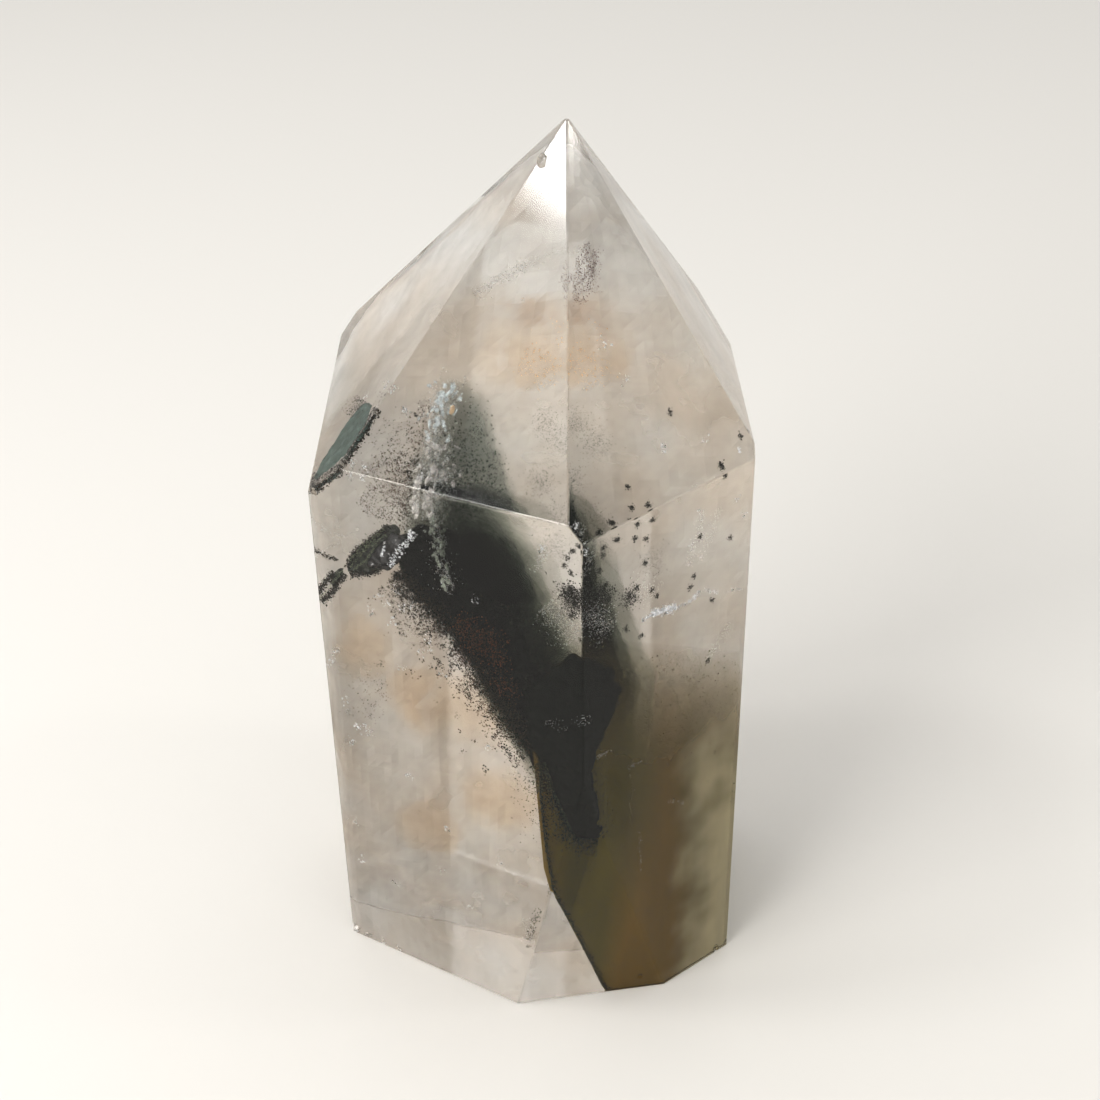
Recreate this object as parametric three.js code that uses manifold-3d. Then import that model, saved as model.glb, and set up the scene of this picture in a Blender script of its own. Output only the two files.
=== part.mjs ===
import * as THREE from 'three';
import { ConvexGeometry } from 'three/addons/geometries/ConvexGeometry.js';
import { mergeVertices } from 'three/addons/utils/BufferGeometryUtils.js';
import Module from 'manifold-3d';

// Phantom quartz point, in millimetres and degrees. +Z runs up the crystal, the base lies on z = 0,
// and the tip is straight above the origin. The front edge of the prism looks towards -Y.

const TIP_HEIGHT = 90;
const ROUGH_BLOCK = 200;

// Clear quartz left between the phantom and the outer faces, and the slit between phantom and pocket.
const CLEAR_SKIN = 1.6;
const SLIT = 0.3;

const wasm = await Module();
wasm.setup();

// A face is given by the way it looks round the axis (from +X towards +Y), the angle between its
// outward normal and +Z, and its distance from the origin along that normal.
const face = (facing, slope, distance) => ({ facing, slope, distance });

// The faces of the termination all pass through the tip.
const tipFace = (facing, slope) =>
  face(facing, slope, TIP_HEIGHT * Math.cos(THREE.MathUtils.degToRad(slope)));

// A copy of a face moved inwards along its own normal.
const inset = ({ facing, slope, distance }, depth) => face(facing, slope, distance - depth);

const BASE = face(0, 180, 0);

const PRISM = {
  frontLeft: face(-118.9, 90.5, 22.0),
  frontRight: face(-52.5, 89.4, 22.3),
  right: face(0, 88.8, 18.45),
  backRight: face(61, 90, 16.0),
  backLeft: face(121.4, 90, 19.1),
  left: face(176.7, 90.1, 23.25),
};

const TERMINATION = {
  frontLeft: tipFace(-121, 50.7),
  frontRight: tipFace(-55.6, 51.7),
  right: tipFace(0.6, 56.8),
  backRight: tipFace(60.6, 52.5),
  backLeft: tipFace(119.1, 51),
  left: tipFace(191.5, 50.3),
};

// The three-cornered facet that undercuts the front edge down to the base.
const FRONT_CUT = face(-80.4, 98.3, 21.0);

// The olive zone of the phantom fills the lower right front. Two planes bound it on the left,
// one behind, and its top falls away from the front so that it thins out upwards.
const ZONE = {
  upperLeft: face(150, 94.2, -12.5),
  lowerLeft: face(165, 103.7, -10.0),
  back: face(75, 90, 6),
  top: face(112.1, 63.8, 1.1),
};

// Corners of the dark crown, whose peak stands high in the left half.
const CROWN_CORNERS = [
  [-9.2, -2.4, 63.2],
  [-7.4, -2.6, 63.3],
  [-10.2, -4.6, 59.5],
  [-12.4, -6.9, 56.5],
  [-13.4, -8.0, 50.5],
  [-8.9, -12.3, 46.0],
  [-1.7, -16.0, 51.0],
  [-3.4, -14.6, 55.8],
  [-4.6, -13.2, 58.4],
  [-5.7, -8.0, 61.6],
  [-6.2, 1.2, 57.0],
  [-8.0, -1.5, 50.5],
  [-3.0, -8.6, 44.5],
];

// Corners of the black core under the crown, a leaning blade. Its front comes down close behind the
// front edge, and below that a neck ends above the base.
const CORE_CORNERS = [
  [-12.6, -7.2, 56.0],
  [-4.2, -13.6, 57.6],
  [-8.5, -3.0, 54.5],
  [-13.6, -8.4, 50.6],
  [-8.9, -12.3, 46.0],
  [-4.6, -17.8, 40.1],
  [-1.7, -21.4, 37.0],
  [-0.9, -22.6, 32.5],
  [0.8, -22.8, 26.0],
  [3.0, -22.2, 25.7],
  [2.1, -22.8, 34.9],
  [3.2, -18.6, 42.2],
  [0.6, -18.4, 48.4],
  [-1.7, -16.0, 51.0],
  [-3.0, -8.6, 44.5],
  [2.0, -12.6, 38.6],
  [2.0, -17.2, 26.6],
];

// Corners of the seam, a thin wedge that runs from the left edge up to the core.
const SEAM_CORNERS = [
  [-23.0, -10.5, 46.7],
  [-22.9, -9.5, 46.3],
  [-22.6, -10.7, 45.6],
  [-22.5, -9.6, 45.2],
  [-20.7, -11.1, 50.9],
  [-20.0, -11.5, 49.3],
  [-15.1, -12.0, 55.9],
  [-14.1, -12.3, 51.4],
  [-13.2, -7.3, 53.2],
  [-12.8, -7.6, 50.6],
];

// Corners of the band, a thin web higher up that runs from the left edge to the crown.
const BAND_CORNERS = [
  [-22.9, -9.3, 58.9],
  [-22.4, -11.2, 58.7],
  [-22.2, -10.0, 57.9],
  [-20.9, -8.3, 60.4],
  [-20.2, -12.1, 61.1],
  [-18.1, -5.7, 63.3],
  [-17.7, -10.0, 63.6],
  [-17.7, -4.9, 62.5],
  [-17.6, -9.0, 62.6],
  [-10.2, -4.6, 59.5],
  [-9.8, -6.0, 59.0],
];

// Turns a closed geometry into a solid that can be joined and cut.
function solidFrom(geometry) {
  geometry.deleteAttribute('normal');
  geometry.deleteAttribute('uv');
  const welded = mergeVertices(geometry);
  const vertProperties = new Float32Array(welded.attributes.position.array);
  const triVerts = new Uint32Array(welded.index.array);
  return new wasm.Manifold(new wasm.Mesh({ numProp: 3, vertProperties, triVerts }));
}

// Turns a solid back into a geometry with flat faces.
function geometryFrom(solid) {
  const { vertProperties, triVerts } = solid.getMesh();
  const indexed = new THREE.BufferGeometry();
  indexed.setAttribute('position', new THREE.BufferAttribute(vertProperties, 3));
  indexed.setIndex(new THREE.BufferAttribute(triVerts, 1));
  const flat = indexed.toNonIndexed();
  flat.computeVertexNormals();
  return flat;
}

// Everything outside one face, as a block whose near side lies in that face.
function blockOutside({ facing, slope, distance }, grow) {
  const block = new THREE.BoxGeometry(ROUGH_BLOCK, ROUGH_BLOCK, ROUGH_BLOCK);
  block.translate(0, 0, ROUGH_BLOCK / 2 + distance + grow);
  block.rotateY(THREE.MathUtils.degToRad(slope));
  block.rotateZ(THREE.MathUtils.degToRad(facing));
  return solidFrom(block);
}

// The convex solid inside all the faces, each moved outwards by grow.
function solidInside(faces, grow = 0) {
  const rough = solidFrom(new THREE.BoxGeometry(ROUGH_BLOCK, ROUGH_BLOCK, ROUGH_BLOCK));
  return faces.reduce((solid, each) => solid.subtract(blockOutside(each, grow)), rough);
}

// The convex solid around a set of corners, each swollen into a small cube when grow is given.
function solidAround(corners, grow = 0) {
  const signs = grow > 0 ? [-1, 1] : [0];
  const points = [];
  for (const [x, y, z] of corners) {
    for (const sx of signs) {
      for (const sy of signs) {
        for (const sz of signs) {
          points.push(new THREE.Vector3(x + sx * grow, y + sy * grow, z + sz * grow));
        }
      }
    }
  }
  return solidFrom(new ConvexGeometry(points));
}

const GROWN_FACES = [FRONT_CUT, ...Object.values(PRISM), ...Object.values(TERMINATION)];

function crystalBody() {
  return solidInside([BASE, ...GROWN_FACES]);
}

// The phantom is the zone, the core, the crown, the seam and the band grown together, all under the
// clear skin. Swollen by grow it shapes the pocket, which then also runs out through the base.
function phantomBody(grow = 0) {
  const underSkin = GROWN_FACES.map((each) => inset(each, CLEAR_SKIN));
  const zone = solidInside([BASE, ...underSkin, ...Object.values(ZONE)], grow);
  const blades = [CROWN_CORNERS, CORE_CORNERS, SEAM_CORNERS, BAND_CORNERS];
  const dark = blades.map((corners) => solidAround(corners, grow)).reduce((a, b) => a.add(b));
  return zone.add(dark.intersect(solidInside([BASE, ...underSkin], grow)));
}

function clearQuartz() {
  const body = crystalBody().subtract(phantomBody(SLIT));
  const material = new THREE.MeshStandardMaterial({
    color: 0xd9d4cb,
    roughness: 0.05,
    metalness: 0,
    transparent: true,
    opacity: 0.35,
  });
  const mesh = new THREE.Mesh(geometryFrom(body), material);
  mesh.name = 'clear_quartz';
  return mesh;
}

function phantom() {
  const material = new THREE.MeshStandardMaterial({
    color: 0x2e3324,
    roughness: 0.8,
    metalness: 0,
  });
  const mesh = new THREE.Mesh(geometryFrom(phantomBody()), material);
  mesh.name = 'phantom';
  return mesh;
}

const crystal = new THREE.Group();
crystal.add(clearQuartz());
crystal.add(phantom());

export default crystal;
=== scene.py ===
"""A polished phantom quartz point: clear facets ground from a block, and the chlorite phantom inside."""

import math

import bmesh
import bpy
import numpy as np
from bpy.props import FloatProperty, FloatVectorProperty, PointerProperty
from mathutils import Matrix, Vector


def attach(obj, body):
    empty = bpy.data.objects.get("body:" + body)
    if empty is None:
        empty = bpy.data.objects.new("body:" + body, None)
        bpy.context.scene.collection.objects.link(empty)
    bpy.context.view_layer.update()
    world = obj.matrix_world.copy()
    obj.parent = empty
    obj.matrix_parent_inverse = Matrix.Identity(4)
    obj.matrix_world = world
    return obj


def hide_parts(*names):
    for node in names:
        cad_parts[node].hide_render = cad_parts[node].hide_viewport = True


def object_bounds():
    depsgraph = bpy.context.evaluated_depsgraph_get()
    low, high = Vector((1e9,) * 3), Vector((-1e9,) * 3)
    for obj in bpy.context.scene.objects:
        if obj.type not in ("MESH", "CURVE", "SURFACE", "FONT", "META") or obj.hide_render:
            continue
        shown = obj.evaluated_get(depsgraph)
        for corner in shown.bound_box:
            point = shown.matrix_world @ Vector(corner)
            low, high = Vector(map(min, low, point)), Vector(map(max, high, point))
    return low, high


bl_info = {
    "name": "Phantom Quartz Point",
    "version": (1, 0, 0),
    "blender": (4, 5, 0),
    "location": "View3D > Sidebar > Phantom Quartz",
    "description": "Grinds a clear quartz point and grows the chlorite phantom inside it",
    "category": "Add Mesh",
}

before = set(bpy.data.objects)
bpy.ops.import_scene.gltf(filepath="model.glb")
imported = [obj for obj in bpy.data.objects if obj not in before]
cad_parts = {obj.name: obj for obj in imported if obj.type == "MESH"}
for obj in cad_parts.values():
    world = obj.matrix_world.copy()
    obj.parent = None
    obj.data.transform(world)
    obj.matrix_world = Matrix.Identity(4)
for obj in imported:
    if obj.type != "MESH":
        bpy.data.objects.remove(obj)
CAD_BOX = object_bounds()

MM = 0.001
SMALLEST_FACE = 5 * MM * MM
LIGHT_BOUNCES = 7
CLEAR_CROSSINGS = 12

# Clear quartz: index, roughness, and the heights in millimetres of the waves and scratches of its polish.
QUARTZ_IOR = 1.544
QUARTZ_ROUGHNESS = 0.09
POLISH_WAVES = 0.05
POLISH_SCRATCHES = 0.0006

# Densities of the stains that only take light away, and the strength of the painted glow of the crumbs and
# the air gaps.
ZONE_DENSITY = 230.0
RUST_DENSITY = 170.0
PEACH_DENSITY = 60.0
CRUMB_PAINTED_GLOW = 0.10
SILVER_PAINTED_GLOW = 0.25

# A face counts as a left or right one in full when its normal turns this far aside.
SIDE_TURN = 0.3

# A face whose normal dips below this is the base.
BASE_DIP = -0.9

# Numbers of grains: in the crown, in the core, along the fringe and its clumps, at its upper left, along
# the zone's edge, and in the zone.
CROWN_GRAINS = 4500
CORE_GRAINS = 20000
FRINGE_GRAINS = 15000
FRINGE_CLUMPS = 3000
UPPER_GRAINS = 500
EDGE_GRAINS = 5200
ZONE_GRAINS = 9000

# No mark comes nearer to a face than this, and no grain than the next.
MARK_SKIN = 0.15 * MM
GRAIN_SKIN = 0.2 * MM

# The photograph: its side in pixels, and the camera in the crystal's frame.
PHOTO_SIDE = 1100
PHOTO_FOCAL = 1529
SENSOR = 36.0
CAMERA_AT = np.array([-1.51, -135.35, 131.0]) * MM
CAMERA_DIP = math.radians(32.7)

# The zone's own faces: facing and slope in degrees, distance in millimetres. Its left ones lie a little
# outside those of the CAD solid, whose skin is thicker.
ZONE_FACES = ((150.0, 94.2, -11.6), (165.0, 103.7, -9.2), (75.0, 90.0, 6.0))

# The zone thins out upwards: its top, and where along that face's normal its cloud fades.
ZONE_TOP = (112.1, 63.8, 1.1)
ZONE_FADE = (-6.0, 1.3)

# Clear quartz before the zone, at its base, and over its grains, and how far down from the top those reach.
ZONE_SKIN = 0.7
BASE_SKIN = 0.05
ZONE_GRAIN_SKIN = 0.3
ZONE_GRAIN_REACH = 9.0

# Where the zone turns pale towards +X, in metres, and how far that edge wavers.
ZONE_PALE = (0.016, 0.024)
ZONE_PALE_WAVE = 0.012

# Corners of the crown and of the core in millimetres, as in the CAD source.
CROWN_CORNERS = [
    (-9.2, -2.4, 63.2), (-7.4, -2.6, 63.3), (-10.2, -4.6, 59.5), (-12.4, -6.9, 56.5),
    (-13.4, -8.0, 50.5), (-8.9, -12.3, 46.0), (-1.7, -16.0, 51.0), (-3.4, -14.6, 55.8),
    (-4.6, -13.2, 58.4), (-5.7, -8.0, 61.6), (-6.2, 1.2, 57.0), (-8.0, -1.5, 50.5),
    (-3.0, -8.6, 44.5),
]
CORE_CORNERS = [
    (-12.6, -7.2, 56.0), (-4.2, -13.6, 57.6), (-8.5, -3.0, 54.5), (-13.6, -8.4, 50.6),
    (-8.9, -12.3, 46.0), (-4.6, -17.8, 40.1), (-1.7, -21.4, 37.0), (-0.9, -22.6, 32.5),
    (0.8, -22.8, 26.0), (3.0, -22.2, 25.7), (2.1, -22.8, 34.9), (3.2, -18.6, 42.2),
    (0.6, -18.4, 48.4), (-1.7, -16.0, 51.0), (-3.0, -8.6, 44.5), (2.0, -12.6, 38.6),
    (2.0, -17.2, 26.6),
]

# The milky haze: depth under the faces, how far its block first runs below the base, how far it comes
# before the axis, where it thins out towards the front, and its thinnest and thickest cloud.
HAZE_DEPTH = 1.2
HAZE_BELOW = 4.0
HAZE_FRONT = 3.0
HAZE_FADE = (-5.0, 12.0)
HAZE_THICKNESS = (0.46, 0.74)

# Layers of the dark stain: name, corners, growth of the left and right sides, drop of the top, rounds of
# smoothing, and density share.
CROWN_LAYERS = (
    ("phantom_crown", CROWN_CORNERS, 0.7, 0.9, None, 20, 0.12),
    ("core_mist", CORE_CORNERS, 0.6, 3.8, -0.8, 44, 0.06),
    ("core_halo", CORE_CORNERS, 0.4, 2.0, -0.4, 32, 0.15),
    ("core_middle", CORE_CORNERS, -0.4, 0.8, 0.2, 20, 0.4),
)

# Places read from the photograph: pixel x, pixel y, and the depth behind the face in millimetres.
CORE_TOP_LINE = [(446, 489), (546, 511)]
CROWN_FRINGE = [
    (398, 572, 10.0), (424, 600, 9.3), (450, 622, 8.2), (475, 664, 6.8),
    (500, 700, 5.2), (520, 726, 4.0), (538, 746, 3.0),
]
CROWN_LEFT_SIDE = [(428, 400, 12.5), (416, 450, 12.0), (408, 500, 11.5), (400, 545, 11.0)]
ZONE_LINE = [
    (538, 744, 0.35), (541, 807, 0.35), (546, 853, 0.35), (552, 885, 0.35),
    (556, 898, 0.35), (575, 931, 0.35), (602, 985, 0.35), (612, 996, 0.35),
]
NECK_STAIN = [
    (541, 762), (600, 766), (616, 850), (604, 930), (585, 940), (560, 900), (546, 853), (541, 762),
]
RIDGE_SHADOW = [(446, 566), (434, 500), (544, 526), (566, 600), (500, 600), (446, 566)]
RIDGE_SHADOW_RIGHT = [(536, 530, 1.0), (560, 600, 1.0), (470, 530, 5.0)]
RIDGE_SHADOW_LEFT = [(432, 505, 5.0), (444, 566, 5.0), (458, 510, 1.0)]
BAND = [
    (310, 484), (322, 462), (346, 424), (362, 404), (374, 404), (366, 432), (344, 464), (322, 482),
    (310, 484),
]
SEAM_FLAKE = [(366, 566), (374, 549), (393, 532), (406, 536), (400, 562), (388, 571), (366, 566)]

# Parts of the neck and of the seam: name, nearest and farthest depth, voxel, rounds of smoothing, height
# and size of the lumps, and the outline in pixels.
NECK_PLATES = (
    ("core_shoulder", 9.0, 12.5, 0.35, 8, 1.0, 1.6, [
        (401, 574), (399, 540), (424, 524), (452, 530), (498, 630), (458, 632), (420, 600), (401, 574)]),
    ("neck_upper", 0.35, 5.0, 0.3, 10, 0.9, 1.6, [
        (541, 776), (529, 738), (526, 690), (575, 652), (612, 668), (622, 690), (589, 774), (541, 776)]),
    ("neck_lower", 0.35, 4.0, 0.3, 6, 0.7, 1.2, [
        (541, 762), (590, 766), (602, 838), (574, 840), (552, 795), (541, 762)]),
)
SEAM_PLATES = (
    ("seam_main", 2.3, 4.6, 0.25, 2, 0.7, 0.7, [
        (347, 571), (353, 553), (388, 525), (399, 527), (400, 543), (384, 568), (371, 574), (347, 571)]),
    ("seam_foot", 1.8, 3.2, 0.25, 2, 0.5, 0.6, [
        (316, 602), (320, 589), (335, 571), (344, 568), (341, 580), (323, 600), (316, 602)]),
)

# Strokes of grains: the number for each path, how far they stray aside in pixels and deeper in
# millimetres, and the paths.
SEAM_RAILS = (
    (600, 1.8, 0.3, (
        [(316, 601, 1.7), (321, 588, 1.7), (334, 572, 1.8)],
        [(322, 602, 1.7), (334, 590, 1.7), (345, 574, 1.8)],
        [(347, 568, 2.2), (353, 553, 2.3), (388, 526, 2.6)],
        [(350, 574, 2.2), (371, 573, 2.4), (396, 560, 2.8)],
    )),
    (700, 1.8, 0.2, ([(312, 487, 1.2), (326, 480, 1.2), (344, 464, 1.4), (366, 432, 1.6), (376, 408, 1.8)],)),
)
SEAM_ENDS = (
    (260, 3, 0.2, ([(309, 487, 1.1), (318, 474, 1.2)],)),
    (160, 1.2, 0.1, ([(311, 548, 1.5), (324, 555, 1.5), (338, 560, 1.5)],)),
)
SEAM_HAIRS = ((260, 0.9, 0.1, (
    [(319, 600, 1.5), (332, 583, 1.6), (343, 571, 1.8)], [(350, 567, 2.0), (364, 551, 2.1), (386, 534, 2.2)],
    [(353, 570, 2.0), (366, 560, 2.1), (374, 548, 2.2)], [(349, 561, 2.0), (360, 548, 2.1), (378, 533, 2.2)],
    [(356, 556, 2.0), (370, 543, 2.1), (384, 529, 2.2)],
)),)
WHITE_STREAKS = (
    (900, 8, 0.8, ([(545, 605, 7.0), (562, 622, 7.0), (578, 634, 7.0)],)),
    (160, 2.5, 0.3, (
        [(688, 566, 9.0), (697, 540, 9.0), (703, 512, 9.0)],
        [(700, 560, 9.5), (712, 530, 9.5), (720, 506, 9.5)],
        [(708, 660, 6.0), (718, 642, 6.0), (730, 622, 6.0)],
    )),
    (120, 3, 0.3, ([(534, 572, 8.0), (545, 550, 8.0)],)),
    (700, 3.5, 0.3, ([(474, 294, 5.0), (510, 272, 5.5), (545, 254, 6.0), (566, 243, 6.5)],)),
)
WHITE_WISPS = (
    (160, 7, 0.8, ([(636, 590, 6.0), (648, 585, 6.0), (658, 592, 6.0)],)),
    (110, 2.6, 0.05, ([(546, 720, 0.4), (562, 727, 0.4), (576, 724, 0.4), (592, 719, 0.4)],)),
    (50, 1.0, 0.05, (
        [(597, 759, 0.3), (604, 753, 0.3), (612, 750, 0.3)],
        [(628, 768, 0.3), (636, 764, 0.3), (642, 761, 0.3)],
        [(668, 803, 0.3), (676, 800, 0.3), (684, 804, 0.3)],
        [(312, 519, 1.5), (322, 526, 1.5), (334, 538, 1.5)],
        [(316, 556, 1.5), (328, 548, 1.5), (341, 541, 1.5)],
        [(321, 529, 1.5), (333, 534, 1.5), (347, 537, 1.5)],
        [(640, 832, 0.4), (641, 872, 0.4)],
    )),
)
SILVER_STROKES = (
    (200, 1.0, 0.3, ([
        (641, 621, 6.0), (655, 613, 6.0), (668, 609, 6.2), (684, 605, 6.4), (694, 598, 6.5), (701, 590, 6.6),
    ],)),
    (320, 2.2, 0.3, ([(652, 614, 5.9), (664, 610, 6.0), (676, 607, 6.2)],)),
    (45, 1.2, 0.3, ([(701, 590, 6.6), (718, 592, 6.8), (744, 588, 6.8)],)),
    (190, 2.2, 0.08, ([(389, 566, 1.8), (400, 550, 1.8), (414, 532, 1.8)],)),
    (34, 0.8, 0.05, ([(381, 556, 1.8), (385, 546, 1.8)],)),
)
TIP_CRUMBS = ((900, 3.6, 0.4, (
    [(588, 246, 2.0), (583, 262, 2.0), (577, 284, 2.0), (580, 304, 2.0)],
    [(594, 250, 2.2), (592, 266, 2.2), (588, 292, 2.2)],
)),)
BAND_END = [(354, 420, 1.4), (367, 403, 1.6)]
NECK_RIGHT_EDGE = [
    (628, 668, 1.4), (612, 704, 0.9), (597, 740, 0.6), (590, 768, 0.5), (597, 804, 0.4), (602, 838, 0.4),
]
NECK_LEFT_EDGE = [(543, 762, 0.25), (553, 795, 0.25), (574, 840, 0.25), (598, 842, 0.25)]
PEAK_CRUMBS_TOP = [(452, 384, 11.2), (440, 402, 11.0), (434, 425, 10.8), (436, 444, 10.6)]
PEAK_CRUMBS_MIDDLE = [(436, 440, 10.6), (436, 470, 10.2), (433, 490, 9.4), (436, 514, 8.6)]
PEAK_CRUMBS_FOOT = [(434, 508, 8.6), (438, 538, 8.0), (442, 562, 7.4), (449, 588, 7.0)]
ORANGE_CRUMB = (452, 410, 10.4)

# Small chips knocked off the edges: pixel x, pixel y, and the three widths of the dent in millimetres.
CHIPS = [
    (542, 160, (1.3, 1.0, 1.9)), (355, 928, (1.5, 1.3, 1.2)), (368, 934, (1.2, 0.7, 0.6)),
    (383, 941, (1.6, 0.8, 0.6)), (399, 948, (1.1, 0.7, 0.7)), (640, 977, (1.0, 0.6, 0.5)),
    (716, 948, (1.2, 0.9, 0.8)), (314, 492, (0.8, 0.7, 1.1)),
]

# Places of single marks: pixel x, pixel y, and depth.
BLACK_SPECKS = [
    (653, 520, 5.0), (646, 539, 5.5), (613, 524, 6.0), (616, 540, 6.0), (700, 537, 4.5),
    (591, 565, 5.0), (600, 571, 5.0), (635, 538, 5.5), (694, 576, 6.0), (690, 587, 6.0),
    (712, 600, 5.0), (630, 594, 5.0), (636, 588, 5.2), (652, 590, 5.0), (657, 596, 5.2),
    (567, 558, 7.0), (570, 588, 7.2), (574, 604, 7.4), (571, 616, 7.4), (594, 592, 5.4),
    (604, 590, 5.6), (721, 465, 3.0), (725, 476, 3.0), (741, 436, 3.0), (628, 487, 5.0),
    (670, 412, 6.0), (632, 508, 6.0), (604, 636, 3.5), (641, 636, 3.5), (626, 629, 3.5),
    (708, 661, 3.0), (730, 538, 4.0), (599, 532, 6.0), (645, 563, 6.5),
]
EDGE_CLUSTER = [(584, 594, 3.0), (594, 597, 3.2), (606, 594, 3.4), (590, 606, 3.0), (630, 597, 5.0)]
SMUDGES = [
    (577, 424, 9.0), (597, 444, 9.5), (571, 480, 9.0), (590, 520, 9.0), (652, 562, 7.0), (600, 600, 6.0),
]
RUST_FRONT = [(466, 628, 5.0), (478, 644, 4.6), (490, 638, 4.6), (496, 660, 4.0), (506, 688, 3.4)]
RUST_STAINS = [(478, 645, 7.0), (612, 706, 4.0), (592, 740, 4.5)]
CHIP_STROKES = [(539, 908, 0.3), (534, 925, 0.3), (528, 948, 0.3)]
CHIP_WHITE = [(525, 918, 0.3), (529, 940, 0.3)]

# Clouds of brown specks: their number, depth, and outline in pixels.
BROWN_CLOUDS = (
    (1100, 8.0, [(358, 500), (372, 486), (398, 484), (418, 492), (410, 518), (384, 522), (362, 512)]),
    (300, 9.0, [(372, 440), (384, 420), (404, 414), (418, 430), (412, 470), (384, 474)]),
    (240, 7.0, [(356, 662), (384, 660), (394, 700), (372, 724), (340, 716), (346, 684)]),
)

# The gold flecks: outlines of the whole patch and of its heart in pixels, flecks in both together, depth.
GOLD_PATCH = [(470, 306), (520, 300), (566, 306), (592, 330), (580, 368), (540, 392), (512, 372), (486, 344)]
GOLD_HEART = [(498, 302), (545, 297), (586, 300), (591, 318), (562, 330), (520, 319)]
GOLD_COUNT = 2600
GOLD_DEPTH = 14.0

# The peach clouds: pixel x, pixel y, depth, and the three widths in millimetres.
PEACH_CLOUDS = [
    (545, 338, 15.0, (9, 7, 7)), (505, 350, 15.0, (8, 6, 6)), (575, 350, 13.0, (6, 7, 7)),
    (470, 710, 10.0, (9, 8, 11)), (420, 700, 11.0, (8, 7, 10)), (500, 800, 8.0, (9, 7, 10)),
    (430, 830, 9.0, (9, 7, 7)), (362, 650, 8.0, (6, 7, 9)),
]

# The sparkling flakes, whose silver ones have a painted glow: pixel x, pixel y, and depth.
SPARKLES = [
    (645, 222, 2.0), (603, 342, 5.0), (625, 378, 5.0), (705, 440, 4.0), (665, 448, 5.0), (738, 451, 2.0),
    (737, 498, 3.0), (745, 512, 2.0), (680, 803, 2.5), (638, 873, 2.5), (603, 755, 2.5), (403, 608, 8.0),
    (411, 606, 8.0), (366, 730, 6.0), (357, 727, 6.0), (410, 775, 6.0), (447, 828, 5.0), (355, 820, 4.0),
    (411, 533, 16.0), (430, 650, 7.0), (487, 748, 4.0), (500, 862, 3.0), (416, 497, 9.0), (417, 505, 9.0),
    (560, 706, 2.0), (592, 740, 1.5), (380, 596, 12.0), (398, 590, 12.0), (330, 660, 4.0), (336, 650, 4.0),
    (350, 476, 4.0), (362, 479, 4.0), (540, 548, 7.0), (693, 546, 5.0), (699, 514, 5.0),
    (405, 412, 6.0), (620, 958, 2.0), (474, 600, 5.0), (386, 604, 8.0), (372, 612, 6.0), (392, 622, 6.0),
    (323, 652, 2.0), (331, 661, 2.0), (366, 726, 4.0), (371, 734, 4.0), (352, 742, 4.0), (345, 700, 5.0),
    (420, 652, 5.0), (402, 668, 6.0), (444, 676, 6.0), (428, 640, 6.0), (334, 812, 3.0), (362, 860, 3.0),
    (398, 884, 3.0), (440, 868, 3.0), (470, 906, 3.0), (352, 420, 3.0), (366, 396, 3.0), (394, 388, 4.0),
]

# The soft lights: name, place and width in metres, property of its power, and colour.
SOFT_LIGHTS = (
    ("window_light", (-0.423, -0.079, 0.605), 0.10, "key_power", (1.0, 0.99, 0.97)),
    ("window_glow", (-0.412, -0.065, 0.62), 0.15, "glow_power", (1.0, 0.99, 0.97)),
    ("side_light", (-0.45, -0.42, 0.28), 0.40, "side_power", (1.0, 0.98, 0.95)),
    ("fill_light", (0.515, -0.05, 0.625), 0.08, "fill_power", (1.0, 0.98, 0.95)),
)


# Small tools for modelling


def select_only(*pieces):
    """Selects just these pieces, or nothing, and makes the first of them active."""
    if bpy.context.object and bpy.context.object.mode != "OBJECT":
        bpy.ops.object.mode_set(mode="OBJECT")
    bpy.ops.object.select_all(action="DESELECT")
    for piece in pieces:
        piece.select_set(True)
    if pieces:
        bpy.context.view_layer.objects.active = pieces[0]


def apply_place():
    bpy.ops.object.transform_apply(location=True, rotation=True, scale=True)


def apply_modifier(piece, kind, **settings):
    modifier = piece.modifiers.new(kind.title(), kind)
    for name, value in settings.items():
        setattr(modifier, name, value)
    select_only(piece)
    bpy.ops.object.modifier_apply(modifier=modifier.name)


def normal_of(facing, slope):
    """The outward normal of a face from its facing round the axis and its slope from +Z, in degrees."""
    around, down = math.radians(facing), math.radians(slope)
    return Vector((math.sin(down) * math.cos(around), math.sin(down) * math.sin(around), math.cos(down)))


def hull_faces(corners, smallest=0.0):
    """The flat faces of the convex solid round some corners as (normal, distance), largest first."""
    hull = bmesh.new()
    for corner in corners:
        hull.verts.new(corner)
    bmesh.ops.remove_doubles(hull, verts=hull.verts, dist=MM / 100)
    bmesh.ops.convex_hull(hull, input=hull.verts)
    hull.normal_update()
    faces = []
    for face in sorted(hull.faces, key=lambda each: -each.calc_area()):
        distance = face.normal.dot(face.calc_center_median())
        known = any(face.normal.dot(n) > 0.9999 and abs(distance - d) < 0.05 * MM for n, d in faces)
        if face.calc_area() >= smallest and not known:
            faces.append((face.normal.copy(), distance))
    hull.free()
    return faces


def plane_facing(normal, outward):
    """A plane's unit normal, turned to the side that looks the given way."""
    normal = Vector(normal).normalized()
    return normal if normal.dot(Vector(outward)) > 0 else -normal


def look_plane(pixels, outward, inset_mm=0.0):
    """The plane of looks along a line of photograph pixels, as a face whose outside lies the given way."""
    start, inside, _, _ = sight_lines(pixels)
    normal = plane_facing(np.cross(start[1] - start[0], inside[0] + inside[1]), outward)
    return normal, normal.dot(Vector(start[0] + start[1])) / 2 - inset_mm * MM


def face_through(points, outward):
    """The face through three places (pixel x, pixel y, depth) whose outside lies the given way."""
    a, b, c = spots(points)
    normal = plane_facing(np.cross(b - a, c - a), outward)
    return normal, normal.dot(Vector(a))


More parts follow.
